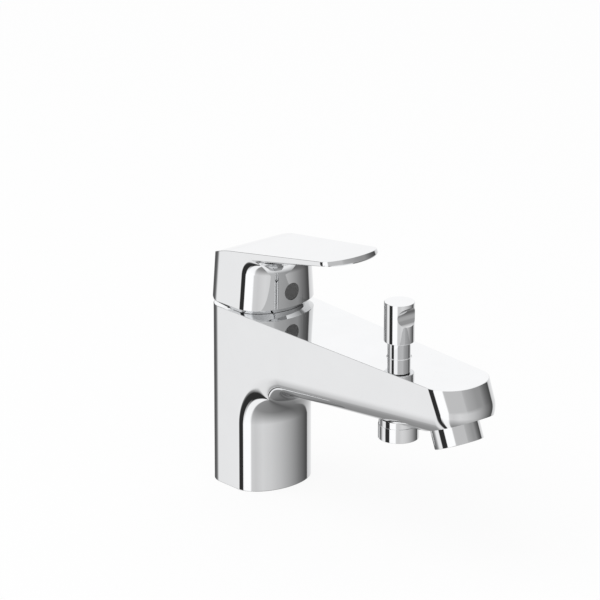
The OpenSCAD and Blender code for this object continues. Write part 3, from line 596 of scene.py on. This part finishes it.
# Brightness round the object by degrees: level with it, above it, overhead and below it, each with the
# heights of a direction between which it takes over from the ones before
DARK_STRIP = [(-121.5, 0.93), (-119, 0.03), (-94, 0.03), (-91.5, 1.12), (-58, 1.12)]
BACK_LEFT = [(-180, 0.1), (-165, 0.12), (-155, 0.22), (-148, 0.5), (-143, 0.76), (-139, 0.88), (-137, 0.9)]
RIGHT = [(80, 0.09), (88, 0.06), (92, 0.7), (115, 0.85)]
BACK_RIGHT = [(152, 0.2), (158, 0.1), (180, 0.1)]
LEVEL = [(-54, 0.7), (-40, 0.66), (-20, 0.74), (0, 0.68), (20, 0.56), (40, 0.4), (60, 0.22)]
LEVEL += RIGHT + [(135, 0.94), (147, 0.98)]
ABOVE = [(-54, 0.57), (0, 0.565), (4, 0.47), (10, 0.43), (26, 0.375), (37, 0.325)]
ABOVE += [(52, 0.31), (61, 0.21), (69, 0.135)] + RIGHT + [(135, 1.03), (147, 1.07)]
OVERHEAD = [(-180, 1.05), (180, 1.05)]
BELOW = [(-180, 0.33), (-165, 0.45), (-158, 0.7), (-150, 0.8), (-140, 0.84), (-124, 0.84), (-113, 0.03)]
BELOW += [(-88, 0.03), (-84, 1), (-62, 1), (-57, 0.3), (0, 0.24), (60, 0.12), (90, 0.2), (140, 0.3)]
BELOW += [(180, 0.33)]
STUDIO = [
    (0, 1, BACK_LEFT + DARK_STRIP + LEVEL + BACK_RIGHT),
    (0, 0.2, BACK_LEFT + DARK_STRIP + ABOVE + BACK_RIGHT),
    (0.55, 0.85, OVERHEAD),
    (-0.35, -0.8, BELOW),
]
BLUE_SHARE = 1.005
# Metres, tones and the share of its own light in what the camera sees of the paper
FLOOR_SIZE, FLOOR_Z, PAPER_TONE, PAPER_GLOW = 12, -0.0002, 0.9, 0.9
LAMP_SIZE, LAMP_WATTS, LAMP_AT, LAMP_AIM = 1.6, 14, (-0.4, -0.9, 1.8), (0.5, 0.9, -1.75)


def turn_ramp(node, stops):
    """Sets a colour ramp's stops from (degrees round the object, brightness)."""
    ramp = node.color_ramp
    ramp.interpolation = "LINEAR"
    while len(ramp.elements) > 1:
        ramp.elements.remove(ramp.elements[0])
    for i, (degrees, value) in enumerate(stops):
        place = degrees / 360 + 0.5
        stop = ramp.elements.new(place) if i else ramp.elements[0]
        stop.position = place
        stop.color = (value, value, value * BLUE_SHARE, 1)


def make_world():
    """White to the camera, and in reflections the studio's bands."""
    world = bpy.data.worlds.new("studio")
    bpy.context.scene.world = world
    world.use_nodes = True
    tree = world.node_tree
    tree.nodes.clear()
    new, link = tree.nodes.new, tree.links.new
    place = new("ShaderNodeTexCoord")
    around = new("ShaderNodeTexGradient")
    around.gradient_type = "RADIAL"
    link(place.outputs["Generated"], around.inputs["Vector"])
    parts = new("ShaderNodeSeparateXYZ")
    link(place.outputs["Generated"], parts.inputs["Vector"])
    light = None
    for start, end, stops in STUDIO:
        band = new("ShaderNodeValToRGB")
        turn_ramp(band, stops)
        link(around.outputs["Color"], band.inputs["Fac"])
        if light is None:
            light = band.outputs["Color"]
            continue
        share = new("ShaderNodeMapRange")
        share.inputs["From Min"].default_value = start
        share.inputs["From Max"].default_value = end
        link(parts.outputs["Z"], share.inputs["Value"])
        layer = new("ShaderNodeMix")
        layer.data_type = "RGBA"
        link(share.outputs["Result"], layer.inputs["Factor"])
        link(light, layer.inputs["A"])
        link(band.outputs["Color"], layer.inputs["B"])
        light = layer.outputs["Result"]
    seen = new("ShaderNodeLightPath")
    paper = new("ShaderNodeMix")
    paper.data_type = "RGBA"
    paper.inputs["B"].default_value = (1, 1, 1, 1)
    link(seen.outputs["Is Camera Ray"], paper.inputs["Factor"])
    link(light, paper.inputs["A"])
    glow = new("ShaderNodeBackground")
    link(paper.outputs["Result"], glow.inputs["Color"])
    output = new("ShaderNodeOutputWorld")
    link(glow.outputs["Background"], output.inputs["Surface"])


def make_paper():
    """White paper that is clear from below."""
    material = bpy.data.materials.new("white_paper")
    material.use_nodes = True
    tree = material.node_tree
    tree.nodes.clear()
    new, link = tree.nodes.new, tree.links.new
    matt = new("ShaderNodeBsdfDiffuse")
    matt.inputs["Color"].default_value = (PAPER_TONE, PAPER_TONE, PAPER_TONE, 1)
    glow = new("ShaderNodeEmission")
    share = new("ShaderNodeMath")
    share.operation = "MULTIPLY"
    share.inputs[1].default_value = PAPER_GLOW
    seen = new("ShaderNodeLightPath")
    mixed = new("ShaderNodeMixShader")
    link(seen.outputs["Is Camera Ray"], share.inputs[0])
    link(share.outputs[0], mixed.inputs["Fac"])
    link(matt.outputs["BSDF"], mixed.inputs[1])
    link(glow.outputs["Emission"], mixed.inputs[2])
    side = new("ShaderNodeNewGeometry")
    clear = new("ShaderNodeBsdfTransparent")
    sided = new("ShaderNodeMixShader")
    link(side.outputs["Backfacing"], sided.inputs["Fac"])
    link(mixed.outputs["Shader"], sided.inputs[1])
    link(clear.outputs["BSDF"], sided.inputs[2])
    output = new("ShaderNodeOutputMaterial")
    link(sided.outputs["Shader"], output.inputs["Surface"])
    return material


def make_floor():
    bpy.ops.object.select_all(action="DESELECT")
    bpy.ops.mesh.primitive_plane_add(size=FLOOR_SIZE, location=(0, 0, FLOOR_Z))
    floor = bpy.context.object
    floor.name = "floor"
    settle(floor)
    floor.visible_glossy = False
    floor.data.materials.append(make_paper())


def make_lamp():
    lamp = bpy.data.objects.new("soft_box", bpy.data.lights.new("soft_box", "AREA"))
    lamp.data.size = LAMP_SIZE
    lamp.data.energy = LAMP_WATTS
    lamp.location = LAMP_AT
    lamp.rotation_euler = Vector(LAMP_AIM).to_track_quat("-Z", "Y").to_euler()
    lamp.visible_glossy = False
    bpy.context.scene.collection.objects.link(lamp)


place_camera()
finishes = make_finishes()
make_world()
make_floor()
make_lamp()
bpy.context.scene.view_settings.view_transform = "Standard"
slots = {part["node"]: part["material_slot"] for part in frame["record"]["subparts"]}
for name, node in nodes.items():
    node.data.materials.clear()
    node.data.materials.append(finishes[slots[name]])
chrome, steel = finishes["chrome"], finishes["steel"]
make_casting(chrome)
make_lever(chrome)
make_dot(finishes["grey_plastic"])
make_knob(chrome)
make_neck(chrome)
make_nipple(chrome)
make_sleeve(chrome)
make_coil("diverter_coil", "diverter_spring", SPRING_WIRE_R, SPRING_TURNS, steel)
make_coil("valve_coil", "check_spring", CHECK_WIRE_R, CHECK_TURNS, steel)
